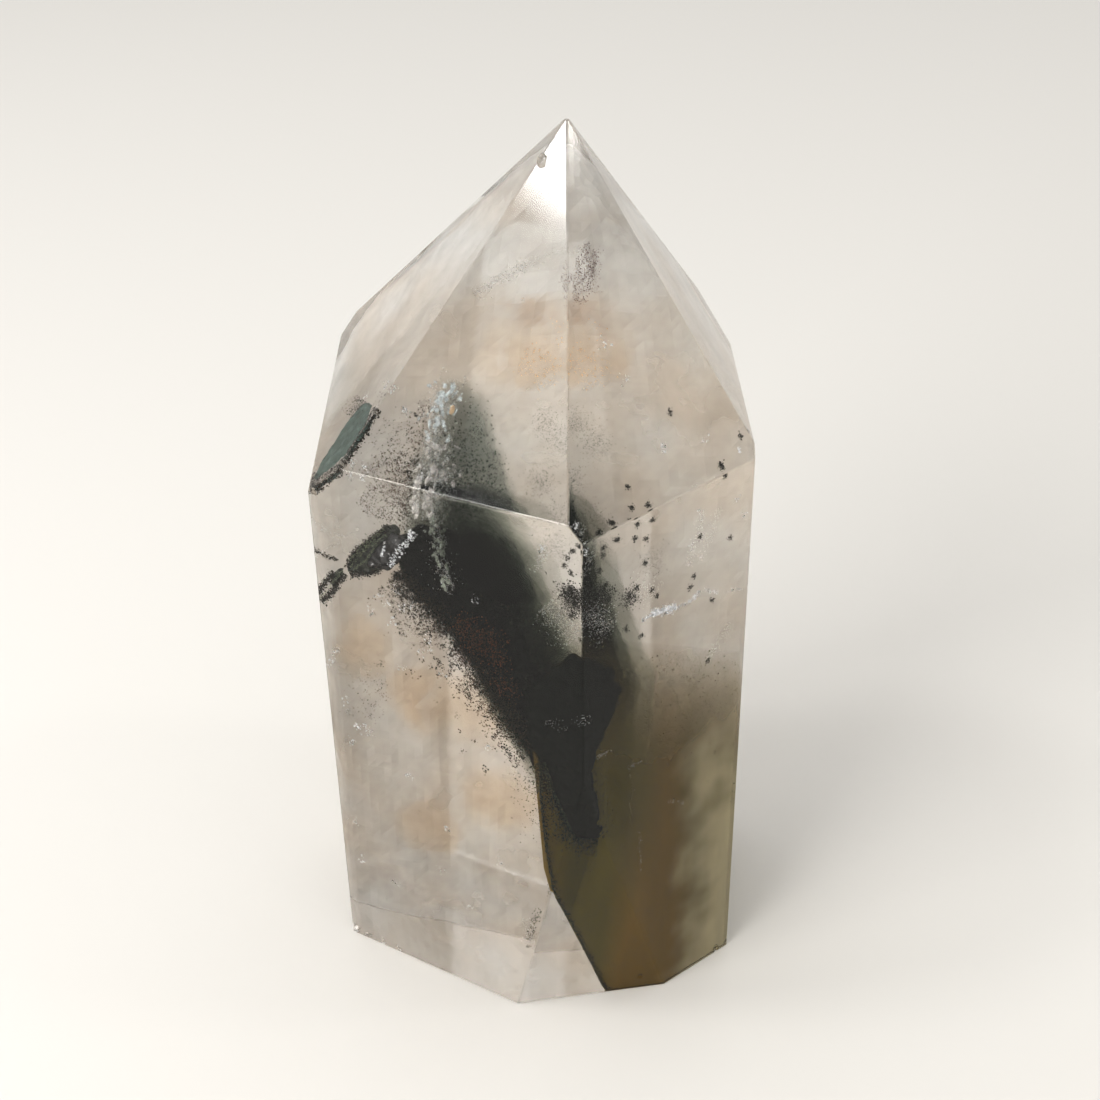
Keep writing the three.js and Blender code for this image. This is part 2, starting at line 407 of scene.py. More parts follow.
def side_share(across):
    """0 for a face that looks to the left, 1 for one that looks to the right, by its normal's x."""
    return np.clip((across + SIDE_TURN) / (2 * SIDE_TURN), 0, 1)


def grown_faces(corners, left, right):
    """The faces round some corners in millimetres, those on either side moved outwards by so many."""
    grown = []
    for normal, distance in hull_faces([tuple(c * MM for c in corner) for corner in corners]):
        share = side_share(normal.x)
        grown.append((normal, distance + (left * (1 - share) + right * share) * MM))
    return grown


OUTER_FACES = hull_faces([v.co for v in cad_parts["clear_quartz"].data.vertices], SMALLEST_FACE)


def roughen(piece, height_mm, lump_mm):
    """Makes a piece uneven with soft lumps of about the given size."""
    clouds = bpy.data.textures.new(piece.name + "_lumps", "CLOUDS")
    clouds.noise_scale = lump_mm * MM
    clouds.noise_depth = 2
    apply_modifier(piece, "DISPLACE", texture=clouds, strength=height_mm * MM, mid_level=0.5)


def pebble(place, size_mm, turn=(0, 0, 0), lumpy=0.3, lump_mm=1.5, cuts=3):
    """A small rounded lump, uneven all over."""
    select_only()
    bpy.ops.mesh.primitive_ico_sphere_add(
        subdivisions=cuts, radius=0.5, location=place, rotation=turn, scale=Vector(size_mm) * MM
    )
    apply_place()
    lump = bpy.context.object
    roughen(lump, lumpy * min(size_mm), lump_mm)
    return lump


def joined(name, pieces):
    """One piece made of several."""
    select_only(*pieces)
    bpy.ops.object.join()
    pieces[0].name = name
    return pieces[0]


def softened(solid, voxel_mm, rounds, bump_mm, lump_mm):
    """Rounds the edges of a solid and makes its sides uneven."""
    apply_modifier(solid, "REMESH", mode="VOXEL", voxel_size=voxel_mm * MM)
    apply_modifier(solid, "SMOOTH", factor=0.6, iterations=rounds)
    roughen(solid, bump_mm, lump_mm)
    return solid


def plate(name, near, far, voxel_mm, rounds, bump_mm, lump_mm, outline, wider_mm=0.0, extra=()):
    """A solid behind a clockwise outline of pixels, between two depths in millimetres under the faces."""
    start, inside, _, facing = sight_lines(outline)
    faces = [(normal, distance - near * MM) for normal, distance in OUTER_FACES]
    for a in range(len(outline) - 1):
        normal = Vector(np.cross(start[a + 1] - start[a], inside[a] + inside[a + 1])).normalized()
        faces.append((normal, normal.dot(Vector(start[a] + start[a + 1])) / 2 + wider_mm * MM))
    normal, distance = OUTER_FACES[facing[0]]
    faces += [(-normal, far * MM - distance), *extra]
    return softened(ground_block(name, faces), voxel_mm, rounds, bump_mm, lump_mm)


def ground_block(name, faces):
    """A block ground down to the given faces, one straight cut for each."""
    low, high = CAD_BOX
    select_only()
    bpy.ops.mesh.primitive_cube_add(size=1, location=(low + high) / 2, scale=(high - low) * 1.2)
    apply_place()
    block = bpy.context.object
    block.name = name
    return grind(block, faces)


def grind(block, faces):
    """Cuts away what lies outside the given faces."""
    select_only(block)
    bpy.ops.object.mode_set(mode="EDIT")
    for normal, distance in faces:
        bpy.ops.mesh.select_all(action="SELECT")
        bpy.ops.mesh.bisect(plane_co=normal * distance, plane_no=normal, use_fill=True, clear_outer=True)
    bpy.ops.mesh.select_all(action="SELECT")
    bpy.ops.mesh.normals_make_consistent(inside=False)
    bpy.ops.object.mode_set(mode="OBJECT")
    return block


# Sight lines from the photograph's camera into the crystal


def sight_lines(pixels):
    """Where looks through photograph pixels enter the quartz, how and how far they run on, and the face."""
    pixels = np.atleast_2d(np.asarray(pixels, float)) - PHOTO_SIDE / 2
    ahead = np.array([0, math.cos(CAMERA_DIP), -math.sin(CAMERA_DIP)])
    right = np.array([1.0, 0, 0])
    below = np.cross(ahead, right)
    heading = ahead + (pixels[:, :1] * right + pixels[:, 1:] * below) / PHOTO_FOCAL
    heading /= np.linalg.norm(heading, axis=1, keepdims=True)
    normals, distances = (np.array(column) for column in zip(*OUTER_FACES))
    closing = heading @ normals.T
    reach = (distances - normals @ CAMERA_AT) / closing
    entry = np.where(closing < 0, reach, -np.inf)
    face = entry.argmax(axis=1)
    start = CAMERA_AT + entry.max(axis=1)[:, None] * heading
    facing = normals[face]
    cosine = -(heading * facing).sum(axis=1, keepdims=True)
    bend = 1 / QUARTZ_IOR
    inner = np.sqrt(1 - bend**2 * (1 - cosine**2))
    inside = bend * heading + (bend * cosine - inner) * facing
    leaving = inside @ normals.T
    far = (distances - start @ normals.T) / np.where(leaving > 1e-9, leaving, np.nan)
    far[np.arange(len(face)), face] = np.nan
    return start, inside, np.nanmin(far, axis=1), face


def into_crystal(pixels, depth_mm):
    """Points at the given depths, in millimetres, behind pixels of the photograph."""
    start, inside, way, _ = sight_lines(pixels)
    depth = np.clip(np.asarray(depth_mm, float) * MM, MARK_SKIN, way - MARK_SKIN)
    return start + depth[:, None] * inside


# Grains: many tiny closed flakes in one mesh

TETRAHEDRON = np.array([(1, 1, 1), (1, -1, -1), (-1, 1, -1), (-1, -1, 1)]) / math.sqrt(3)
TETRAHEDRON_SIDES = np.array([(0, 1, 2), (0, 3, 1), (0, 2, 3), (1, 3, 2)])


def random_turns(count, rng):
    """Evenly spread rotation matrices, from random unit quaternions."""
    w, x, y, z = rng.normal(size=(4, count))
    size = np.sqrt(w * w + x * x + y * y + z * z)
    w, x, y, z = w / size, x / size, y / size, z / size
    rows = [
        [1 - 2 * (y * y + z * z), 2 * (x * y - z * w), 2 * (x * z + y * w)],
        [2 * (x * y + z * w), 1 - 2 * (x * x + z * z), 2 * (y * z - x * w)],
        [2 * (x * z - y * w), 2 * (y * z + x * w), 1 - 2 * (x * x + y * y)],
    ]
    return np.array(rows).transpose(2, 0, 1)


def add_grains(name, places, sizes_mm, materials, rng, node=None, shares=None, flatness=0.35):
    """A piece of closed grains, squashed tetrahedra with random turns, sizes (if a pair) and materials."""
    if isinstance(sizes_mm, tuple):
        sizes_mm = rng.uniform(*sizes_mm, len(places))
    buried = depths_under(OUTER_FACES, places).min(axis=1) > GRAIN_SKIN
    places, sizes_mm = places[buried], sizes_mm[buried]
    count = len(places)
    corners = TETRAHEDRON[None] * rng.uniform(0.6, 1.4, (count, 4, 3))
    corners[:, :, 2] *= flatness
    corners = np.einsum("nij,nkj->nki", random_turns(count, rng), corners)
    corners = places[:, None] + corners * (sizes_mm * MM / 2)[:, None, None]
    sides = (np.arange(count)[:, None, None] * 4 + TETRAHEDRON_SIDES[None]).reshape(-1, 3)
    mesh = bpy.data.meshes.new(name)
    mesh.vertices.add(count * 4)
    mesh.vertices.foreach_set("co", corners.astype(np.float32).ravel())
    mesh.loops.add(len(sides) * 3)
    mesh.loops.foreach_set("vertex_index", sides.astype(np.int32).ravel())
    mesh.polygons.add(len(sides))
    mesh.polygons.foreach_set("loop_start", np.arange(0, len(sides) * 3, 3, dtype=np.int32))
    for material in materials:
        mesh.materials.append(material)
    which = rng.choice(len(materials), size=count, p=shares)
    mesh.polygons.foreach_set("material_index", np.repeat(which, 4).astype(np.int32))
    mesh.update(calc_edges=True)
    mesh.validate()
    piece = bpy.data.objects.new(name, mesh)
    bpy.context.scene.collection.objects.link(piece)
    finish_piece(piece, node)


def strewn(strokes, rng):
    """Random places of some strokes of grains."""
    return np.concatenate([
        scatter_along(path, rng.normal(0, aside, count), rng.normal(0, deep, count), rng)
        for count, aside, deep, paths in strokes for path in paths
    ])


def scatter_along(path, sideways, deep, rng):
    """Random places along a path of (pixel x, pixel y, depth), moved aside in pixels and deeper in mm."""
    path = np.asarray(path, float)
    steps = np.linalg.norm(np.diff(path[:, :2], axis=0), axis=1)
    marks = np.concatenate([[0], np.cumsum(steps)]) / steps.sum()
    share = rng.uniform(0, 1, len(sideways))
    before, at, after = (
        np.stack([np.interp(np.clip(share + step, 0, 1), marks, path[:, i]) for i in range(3)], axis=1)
        for step in (-0.03, 0, 0.03)
    )
    way = (after - before)[:, :2]
    way /= np.linalg.norm(way, axis=1, keepdims=True)
    across = np.stack([way[:, 1], -way[:, 0]], axis=1)
    return into_crystal(at[:, :2] + across * np.asarray(sideways)[:, None], at[:, 2] + deep)


def spots(points):
    """The points in the crystal at (pixel x, pixel y, depth)."""
    points = np.asarray(points, float)
    return into_crystal(points[:, :2], points[:, 2])


def around(centres, count, spread_mm, rng):
    """A ball of random places round each centre."""
    places = np.repeat(centres, count, axis=0)
    return places + rng.normal(0, spread_mm * MM, places.shape)


def depths_under(faces, places):
    """How deep each place lies under each of some faces."""
    normals, distances = (np.array(column) for column in zip(*faces))
    return distances - places @ normals.T


def inside_faces(faces, count, rng, left_mm, right_mm):
    """Random places inside the solid between faces, fewer of them near its left and right sides."""
    low, high = np.array(CAD_BOX[0]), np.array(CAD_BOX[1])
    share = side_share(np.array([normal.x for normal, _ in faces]))
    fades = (left_mm * (1 - share) + right_mm * share) * MM
    kept = np.zeros((0, 3))
    while len(kept) < count:
        tries = rng.uniform(low, high, (200000, 3))
        tries = tries[(depths_under(faces, tries) > 0).all(axis=1)]
        likely = np.clip(depths_under(faces, tries) / fades, 0, 1).min(axis=1)
        found = tries[rng.uniform(0, 1, len(tries)) < likely]
        kept = np.concatenate([kept, found])
        if len(found):
            low, high = np.minimum(kept.min(axis=0), high) - MM, np.maximum(kept.max(axis=0), low) + MM
    return kept[:count]


def within(outline, count, rng):
    """Random pixels inside an outline."""
    outline = np.asarray(outline, float)
    low, high = outline.min(axis=0), outline.max(axis=0)
    kept = np.zeros((0, 2))
    while len(kept) < count:
        tries = rng.uniform(low, high, (count * 3, 2))
        a, b = outline, np.roll(outline, -1, axis=0)
        crossing = (a[:, 1] > tries[:, None, 1]) != (b[:, 1] > tries[:, None, 1])
        rise = np.where(b[:, 1] == a[:, 1], 1, b[:, 1] - a[:, 1])
        meets = a[:, 0] + (tries[:, None, 1] - a[:, 1]) * (b[:, 0] - a[:, 0]) / rise
        inside = (crossing & (tries[:, None, 0] < meets)).sum(axis=1) % 2 == 1
        kept = np.concatenate([kept, tries[inside]])
    return kept[:count]


def clumped(places, rng, clumps, spread):
    """Draws random places towards a few random centres, so that they gather in clumps."""
    centres = places[rng.integers(0, len(places), clumps)]
    chosen = centres[rng.integers(0, clumps, len(places))]
    return chosen + rng.normal(0, spread, places.shape)


# Materials


def new_material(name):
    material = bpy.data.materials.new(name)
    material.use_nodes = True
    tree = material.node_tree
    tree.nodes.clear()
    return material, tree, tree.nodes.new("ShaderNodeOutputMaterial")


def feed(tree, socket, value):
    """Gives an input a value, or links it to a node's first output or to another output."""
    if isinstance(value, bpy.types.Node):
        value = value.outputs[0]
    if isinstance(value, bpy.types.NodeSocket):
        tree.links.new(value, socket)
    else:
        socket.default_value = value


def add_node(tree, kind, *first, operation=None, group=None, **named):
    """A new node, its first inputs and its named ones fed as given."""
    node = tree.nodes.new(kind)
    if operation:
        node.operation = operation
    if group:
        node.node_tree = group
    for socket, value in zip(node.inputs, first):
        feed(tree, socket, value)
    for name, value in named.items():
        feed(tree, node.inputs[name.replace("_", " ")], value)
    return node


def principled(tree, output, **named):
    shader = add_node(tree, "ShaderNodeBsdfPrincipled", **named)
    feed(tree, output.inputs["Surface"], shader)


def new_group(name, inputs, outputs):
    """An empty node group with named inputs and outputs of the given kinds."""
    group = bpy.data.node_groups.new(name, "ShaderNodeTree")
    for way, sockets in (("INPUT", inputs), ("OUTPUT", outputs)):
        for label, kind in sockets.items():
            group.interface.new_socket(label, in_out=way, socket_type="NodeSocket" + kind)
    return group, group.nodes.new("NodeGroupInput").outputs, group.nodes.new("NodeGroupOutput").inputs


def mixed(tree, factor, first, second):
    """A colour mixed from two by a factor."""
    mix = tree.nodes.new("ShaderNodeMix")
    mix.data_type = "RGBA"
    sockets = {socket.identifier: socket for socket in mix.inputs}
    for name, value in (("Factor_Float", factor), ("A_Color", first), ("B_Color", second)):
        feed(tree, sockets[name], value)
    return next(socket for socket in mix.outputs if socket.identifier == "Result_Color")


def grain_material(name, colour, roughness=0.7, specular=0.1, **named):
    material, tree, output = new_material(name)
    named.update(Base_Color=(*colour, 1), Roughness=roughness, Specular_IOR_Level=specular)
    principled(tree, output, **named)
    return material


def polish_group():
    """Faint waves and hairline scratches of a hand-polished face, as a bumped normal."""
    heights = {"Wave Height": "Float", "Scratch Height": "Float"}
    group, begin, end = new_group("hand_polish", heights, {"Normal": "Vector"})
    where = add_node(group, "ShaderNodeTexCoord").outputs["Object"]
    waves = add_node(group, "ShaderNodeTexNoise", where, Scale=90, Detail=0)
    stretch = add_node(group, "ShaderNodeMapping", where, Rotation=(0.4, 0.3, 0.7), Scale=(60, 2200, 60))
    lines = add_node(group, "ShaderNodeTexNoise", stretch, Scale=1, Detail=0)
    hairlines = add_node(group, "ShaderNodeMath", lines, begin["Scratch Height"], operation="MULTIPLY")
    height = add_node(
        group, "ShaderNodeMath", waves, begin["Wave Height"], hairlines, operation="MULTIPLY_ADD"
    )
    feed(group, end["Normal"], add_node(group, "ShaderNodeBump", Distance=MM, Height=height))
    return group


def quartz_material(look):
    material, tree, output = new_material("clear_quartz_glass")
    heights = {"Wave_Height": POLISH_WAVES, "Scratch_Height": POLISH_SCRATCHES}
    polish = add_node(tree, "ShaderNodeGroup", group=polish_group(), **heights)
    principled(
        tree, output, Base_Color=(1, 1, 1, 1), Roughness=QUARTZ_ROUGHNESS, IOR=QUARTZ_IOR,
        Transmission_Weight=1.0, Normal=polish,
    )
    add_absorption(material, look.quartz_tint, look.quartz_density)
    return material


def stained_material(name, colour, density):
    """Chlorite too fine to see as grains: it only takes light away."""
    material, tree, output = new_material(name)
    feed(tree, output.inputs["Surface"], add_node(tree, "ShaderNodeBsdfTransparent"))
    add_absorption(material, colour, density)
    return material


def streaky_material(name, colours, roughness=0.4):
    """Chlorite in fine streaks, of the colours given with their places on the ramp."""
    material, tree, output = new_material(name)
    where = add_node(tree, "ShaderNodeTexCoord").outputs["Object"]
    turn = add_node(tree, "ShaderNodeMapping", where, Rotation=(0.2, -0.5, -0.7), Scale=(220, 1400, 1400))
    streaks = add_node(tree, "ShaderNodeTexNoise", turn, Scale=1.0, Detail=4)
    ramp = add_node(tree, "ShaderNodeValToRGB", streaks)
    for spot, _ in colours[1:-1]:
        ramp.color_ramp.elements.new(spot)
    for element, (spot, colour) in zip(ramp.color_ramp.elements, colours):
        element.position = spot
        element.color = (*colour, 1)
    principled(tree, output, Roughness=roughness, Base_Color=ramp)
    return material


def cloud_group():
    """Uneven thickness of a cloud inside the quartz, thinning out towards one side, and a colour mask."""
    numbers = ("Scale", "Thinnest", "Thickest", "Fade Start", "Fade End")
    inputs = {"Stretch": "Vector", "Fade Way": "Vector", **dict.fromkeys(numbers, "Float")}
    group, begin, end = new_group("inner_cloud", inputs, {"Alpha": "Float", "Mask": "Float"})
    where = add_node(group, "ShaderNodeTexCoord").outputs["Object"]
    stretched = add_node(group, "ShaderNodeVectorMath", where, begin["Stretch"], operation="MULTIPLY")
    clouds = add_node(
        group, "ShaderNodeTexNoise", stretched, Scale=begin["Scale"], Detail=3, Roughness=0.62
    )
    thickness = add_node(
        group, "ShaderNodeMapRange", clouds, 0.36, 0.66, begin["Thinnest"], begin["Thickest"]
    )
    along = add_node(group, "ShaderNodeVectorMath", where, begin["Fade Way"], operation="DOT_PRODUCT")
    fade = add_node(
        group, "ShaderNodeMapRange", along.outputs["Value"], begin["Fade Start"], begin["Fade End"], 1, 0
    )
    feed(group, end["Alpha"], add_node(group, "ShaderNodeMath", thickness, fade, operation="MULTIPLY"))
    patches = add_node(group, "ShaderNodeTexNoise", stretched, Scale=90, Detail=1)
    feed(group, end["Mask"], add_node(group, "ShaderNodeMapRange", patches, 0.42, 0.6))
    return group


def cloud_material(name, colours, scale, thickness, stretch=(1, 1, 1), fade=((0, 0, 0), 1, 2), glow=0.0):
    """A thin uneven cloud of two colours, which lets light through where it is thin, with an optional painted
    glow.
    """
    material, tree, output = new_material(name)
    group = bpy.data.node_groups.get("inner_cloud") or cloud_group()
    cloud = add_node(
        tree, "ShaderNodeGroup", group=group, Stretch=stretch, Scale=scale, Thinnest=thickness[0],
        Thickest=thickness[1], Fade_Way=fade[0], Fade_Start=fade[1], Fade_End=fade[2],
    )
    first, second = ((*colour, 1) for colour in colours)
    principled(
        tree, output, Roughness=0.9, Specular_IOR_Level=0.0, Alpha=cloud.outputs["Alpha"],
        Base_Color=mixed(tree, cloud.outputs["Mask"], first, second), Emission_Color=first,
        Emission_Strength=glow,
    )
    return material


def zone_material(look):
    """Olive and red brown chlorite in upright streaks, paler to the right, fading out at its top."""
    fade = (normal_of(*ZONE_TOP[:2]), ZONE_FADE[0] * MM, ZONE_FADE[1] * MM)
    colours = (look.zone_colour, look.zone_green)
    material = cloud_material("zone_chlorite", colours, 230, (0.8, 0.97), (1.0, 1.0, 0.14), fade)
    add_absorption(material, look.zone_stain, ZONE_DENSITY)
    tree = material.node_tree
    base = next(node for node in tree.nodes if node.type == "BSDF_PRINCIPLED").inputs["Base Color"]
    where = add_node(tree, "ShaderNodeTexCoord").outputs["Object"]
    across = add_node(tree, "ShaderNodeSeparateXYZ", where)
    uneven = add_node(tree, "ShaderNodeTexNoise", where, Scale=160, Detail=2)
    shifted = add_node(tree, "ShaderNodeMath", uneven, ZONE_PALE_WAVE, across, operation="MULTIPLY_ADD")
    right = add_node(tree, "ShaderNodeMapRange", shifted, *ZONE_PALE)
    right.interpolation_type = "SMOOTHSTEP"
    feed(tree, base, mixed(tree, right, base.links[0].from_socket, (*look.zone_pale, 1)))
    return material


def add_absorption(material, colour, density):
    """Makes the inside of a material take light away."""
    tree = material.node_tree
    output = next(node for node in tree.nodes if node.type == "OUTPUT_MATERIAL")
    absorb = add_node(tree, "ShaderNodeVolumeAbsorption", Color=(*colour, 1), Density=density)
    feed(tree, output.inputs["Volume"], absorb)


# Sizes and colours that a user would change


def colour_property(name, description, default):
    return FloatVectorProperty(
        name=name, description=description, default=default, subtype="COLOR", min=0, max=1
    )


class QuartzLook(bpy.types.PropertyGroup):
    haze_colour: colour_property(
        "Haze Colour", "Milky haze in the middle of the crystal", (1.0, 0.99, 0.97)
    )
    haze_warm: colour_property("Warm Haze Colour", "Beige patches of the haze", (0.985, 0.905, 0.82))
    peach: colour_property("Peach", "Faint iron stained clouds", (0.97, 0.76, 0.50))
    edge_width: FloatProperty(
        name="Edge Width", description="Polished bevel on each edge", default=0.12 * MM, unit="LENGTH"
    )
    tip_cut: FloatProperty(
        name="Tip Wear", description="How much of the sharp tip is worn off", default=0.25 * MM, unit="LENGTH"
    )
    quartz_tint: colour_property(
        "Quartz Tint", "Faint smoky cast of the clear quartz", (0.96, 0.90, 0.82)
    )
    quartz_density: FloatProperty(
        name="Quartz Density", description="How strongly the cast builds up with depth", default=8.0
    )
    zone_stain: colour_property(
        "Zone Stain", "What light is left after the lower zone of the phantom", (0.40, 0.31, 0.13)
    )
    zone_colour: colour_property(
        "Zone Colour", "Red brown clouds of the lower zone", (0.24, 0.148, 0.022)
    )
    zone_pale: colour_property(
        "Zone Pale", "Grey green right edge of the lower zone", (0.62, 0.55, 0.36)
    )
    zone_green: colour_property(
        "Zone Green", "Olive green clouds of the lower zone", (0.15, 0.12, 0.022)
    )
    crown_colour: colour_property("Crown Colour", "Teal grey of the crown", (0.15, 0.25, 0.21))
    core_colour: colour_property("Core Colour", "Green black round the core", (0.16, 0.22, 0.14))
    crown_density: FloatProperty(
        name="Crown Density", description="How quickly the dark crown blackens", default=900.0
    )


class StageLook(bpy.types.PropertyGroup):
    floor_colour: colour_property("Floor Colour", "Plain pale floor", (0.70, 0.685, 0.66))
    sky_strength: FloatProperty(name="Sky Strength", description="Soft light from all round", default=0.655)
    key_power: FloatProperty(
        name="Key Power", description="Window light from upper left", default=0.29, unit="POWER"
    )
    glow_power: FloatProperty(
        name="Glow Power", description="Soft light round the window", default=0.28, unit="POWER"
    )
    side_power: FloatProperty(
        name="Side Power", description="Broad soft light from the front left", default=2.8, unit="POWER"
    )
    fill_power: FloatProperty(
        name="Fill Power", description="Weak light from upper right", default=0.2, unit="POWER"
    )


def finish_piece(piece, node=None, material=None):
    if material:
        piece.data.materials.append(material)
    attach(piece, "root")
    if node:
        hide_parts(node)


# Operators, one for each piece or group of like pieces


class QUARTZ_OT_crystal(bpy.types.Operator):
    """Grind the clear quartz point with its worn tip and polished edges"""

    bl_idname = "quartz.crystal"
    bl_label = "Clear Quartz Point"

    def execute(self, context):
        look = context.scene.quartz_look
        worn_tip = (Vector((0, 0, 1)), CAD_BOX[1].z - look.tip_cut)
        point = ground_block("quartz_point", [*OUTER_FACES, worn_tip])
        apply_modifier(
            point, "BEVEL", width=look.edge_width, segments=2, limit_method="ANGLE", angle_limit=0.3
        )
        rng = np.random.default_rng(11)
        places = sight_lines([chip[:2] for chip in CHIPS])[0]
        for (_, _, widths), place in zip(CHIPS, places):
            dent = pebble(place, widths, tuple(rng.uniform(0, math.pi, 3)), 0.4, 0.8)
            apply_modifier(point, "BOOLEAN", object=dent, operation="DIFFERENCE", solver="EXACT")
            bpy.data.objects.remove(dent)
        finish_piece(point, "clear_quartz", quartz_material(look))
        return {"FINISHED"}


class QUARTZ_OT_phantom_stain(bpy.types.Operator):
    """Stain the phantom's lower zone and its dark crown inside the crystal"""

    bl_idname = "quartz.phantom_stain"
    bl_label = "Phantom Stain"

    def execute(self, context):
        look = context.scene.quartz_look
        body = ground_block("zone_body", zone_faces(ZONE_SKIN))
        finish_piece(body, "phantom", zone_material(look))
        for name, corners, left, right, drop, rounds, strength in CROWN_LAYERS:
            faces = grown_faces(corners, left, right)
            if drop is not None:
                faces.append(look_plane(CORE_TOP_LINE, (0, 0, 1), drop))
            layer = softened(ground_block(name, faces), 0.5, rounds, 2.0, 3.0)
            colour = look.crown_colour if drop is None else look.core_colour
            stain = stained_material(name, colour, look.crown_density * strength)
            finish_piece(layer, "phantom", stain)
        black = grain_material("chlorite_black", (0.004, 0.006, 0.004), 0.8, 0.0)
        faces = grown_faces(CORE_CORNERS, -1.0, -2.8) + [look_plane(CORE_TOP_LINE, (0, 0, 1), 0.6)]
        core = softened(ground_block("phantom_core", faces), 0.5, 6, 1.6, 2.0)
        finish_piece(core, "phantom", black)
        neck = joined("phantom_neck", [plate(*measures) for measures in NECK_PLATES])
        finish_piece(neck, "phantom", black)
        slopes = [face_through(RIDGE_SHADOW_RIGHT, (1, 0, 0)), face_through(RIDGE_SHADOW_LEFT, (-1, 0, 0))]
        for name, measures, share in (
            ("ridge_shadow", (1.0, 5.0, 0.3, 8, 0.5, 1.6, RIDGE_SHADOW, 0.35, slopes), 0.6),
            ("neck_stain", (0.3, 2.4, 0.3, 12, 0.5, 1.6, NECK_STAIN), 0.7),
        ):
            stain = stained_material(name, look.core_colour, look.crown_density * share)
            finish_piece(plate(name, *measures), "phantom", stain)
        rusty = [pebble(place, (5.5, 4.0, 6.0), (0.3, 0.5, 0.9)) for place in spots(RUST_STAINS)]
        stain = stained_material("rust", (0.42, 0.10, 0.05), RUST_DENSITY)
        finish_piece(joined("rust_stains", rusty), "phantom", stain)
        return {"FINISHED"}


def under_skin(skin, base_skin):
    """The crystal's faces moved inwards by some clear skin, and its base by another."""
    skins = (base_skin if normal.z < BASE_DIP else skin for normal, _ in OUTER_FACES)
    return [(normal, distance - depth * MM) for (normal, distance), depth in zip(OUTER_FACES, skins)]


def zone_faces(skin):
    """The faces of the lower zone: its own, and the crystal's under some clear skin, thinnest at the base."""
    own = [(normal_of(f, s), d * MM) for f, s, d in (*ZONE_FACES, ZONE_TOP)]
    return under_skin(skin, BASE_SKIN) + own


class QUARTZ_OT_phantom_grains(bpy.types.Operator):
    """Scatter chlorite grains through the crown, round its left side and down the edge of the zone"""

    bl_idname = "quartz.phantom_grains"
    bl_label = "Phantom Grains"

    def execute(self, context):
        rng = np.random.default_rng(21)
        green_black = grain_material("chlorite_green_black", (0.011, 0.017, 0.011), 0.8, 0.0)
        moss = grain_material("chlorite_moss", (0.04, 0.055, 0.03))
        umber = grain_material("chlorite_umber", (0.05, 0.032, 0.016))
        olive = grain_material("chlorite_olive", (0.12, 0.11, 0.05))
        crown = inside_faces(grown_faces(CROWN_CORNERS, 0.8, 1.6), CROWN_GRAINS, rng, 1.2, 7.0)
        faces = grown_faces(CORE_CORNERS, -0.2, 1.2) + [look_plane(CORE_TOP_LINE, (0, 0, 1), 0.2)]
        core = inside_faces(faces, CORE_GRAINS, rng, 0.8, 5.0)
        places = np.concatenate([crown, core])
        dark = (green_black, moss, umber)
        add_grains("crown_grains", places, (0.1, 0.28), dark, rng, "phantom", shares=(0.78, 0.15, 0.07))

        aside = -rng.exponential(9.0, FRINGE_GRAINS) + rng.normal(4, 3, FRINGE_GRAINS)
        fringe = scatter_along(CROWN_FRINGE, aside, rng.normal(0, 0.9, FRINGE_GRAINS), rng)
        aside = -rng.exponential(10, UPPER_GRAINS) + 4
        upper = scatter_along(CROWN_LEFT_SIDE, aside, rng.normal(0, 1, UPPER_GRAINS), rng)
        places = np.concatenate([clumped(fringe, rng, FRINGE_CLUMPS, 0.2 * MM), upper])
        add_grains("crown_fringe", places, (0.12, 0.3), (green_black, umber), rng, shares=(0.5, 0.5))

        red_brown = grain_material("chlorite_red_brown", (0.26, 0.085, 0.035))
        places = around(spots(RUST_FRONT), 400, 0.8, rng)
        add_grains("rust_grains", places, (0.08, 0.22), (red_brown, umber), rng, "phantom")

        aside = np.abs(rng.normal(0, 2.2, EDGE_GRAINS)) - 0.4
        line = scatter_along(ZONE_LINE, aside, rng.exponential(0.5, EDGE_GRAINS), rng)
        neck = scatter_along(NECK_RIGHT_EDGE, rng.exponential(7, 2600) - 4, rng.exponential(0.5, 2600), rng)
        left = scatter_along(NECK_LEFT_EDGE, 3 - rng.exponential(8, 4200), rng.exponential(0.12, 4200), rng)
        chip = scatter_along(CHIP_STROKES, rng.normal(0, 2.2, 200), rng.exponential(0.2, 200), rng)
        places = np.concatenate([line, neck, left, chip])
        edge = (moss, green_black, olive)
        add_grains("zone_edge_grains", places, (0.08, 0.24), edge, rng, shares=(0.45, 0.35, 0.2))

        facing, slope, distance = ZONE_TOP
        reach = (-normal_of(facing, slope), (ZONE_GRAIN_REACH - distance) * MM)
        places = inside_faces([*zone_faces(ZONE_GRAIN_SKIN), reach], ZONE_GRAINS, rng, 0.5, 0.5)
        earth = (olive, moss, umber)
        add_grains("zone_grains", places, (0.12, 0.26), earth, rng, "phantom", shares=(0.4, 0.3, 0.3))
        return {"FINISHED"}


